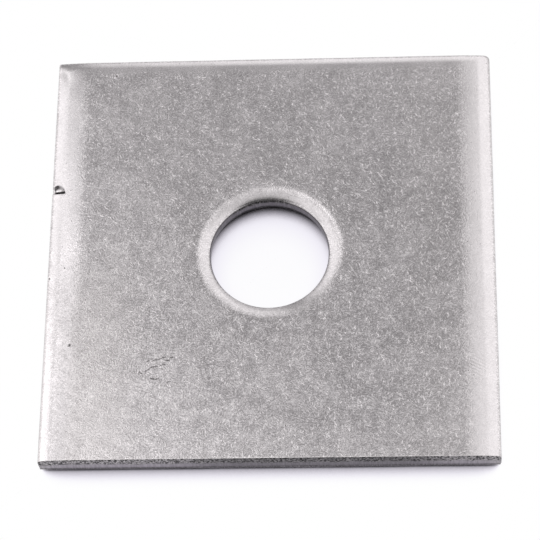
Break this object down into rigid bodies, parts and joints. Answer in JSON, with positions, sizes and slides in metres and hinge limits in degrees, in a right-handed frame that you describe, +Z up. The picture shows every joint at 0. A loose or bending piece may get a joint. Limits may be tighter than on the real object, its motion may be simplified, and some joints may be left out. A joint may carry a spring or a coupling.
{
  "type": "square plate washer",
  "caption": "Flat square steel plate washer with a plain round bolt hole and sheared, rolled-over edges; spreads a bolt's load over a wide area.",
  "frame": {"origin": "on the bore axis at the level of the underside; the middle of the plate is 0.15 mm to the right and 0.15 mm to the rear of it", "axes": "+Z up through the bore to the face where the bore is rolled over, -Y to the front edge, +X to the right edge"},
  "size_m": [0.0499, 0.0499, 0.003],
  "materials": {
    "steel": "tumbled, dull satin"
  },
  "bodies": {
    "root": {"plate_washer": "steel"}
  },
  "joints": []
}
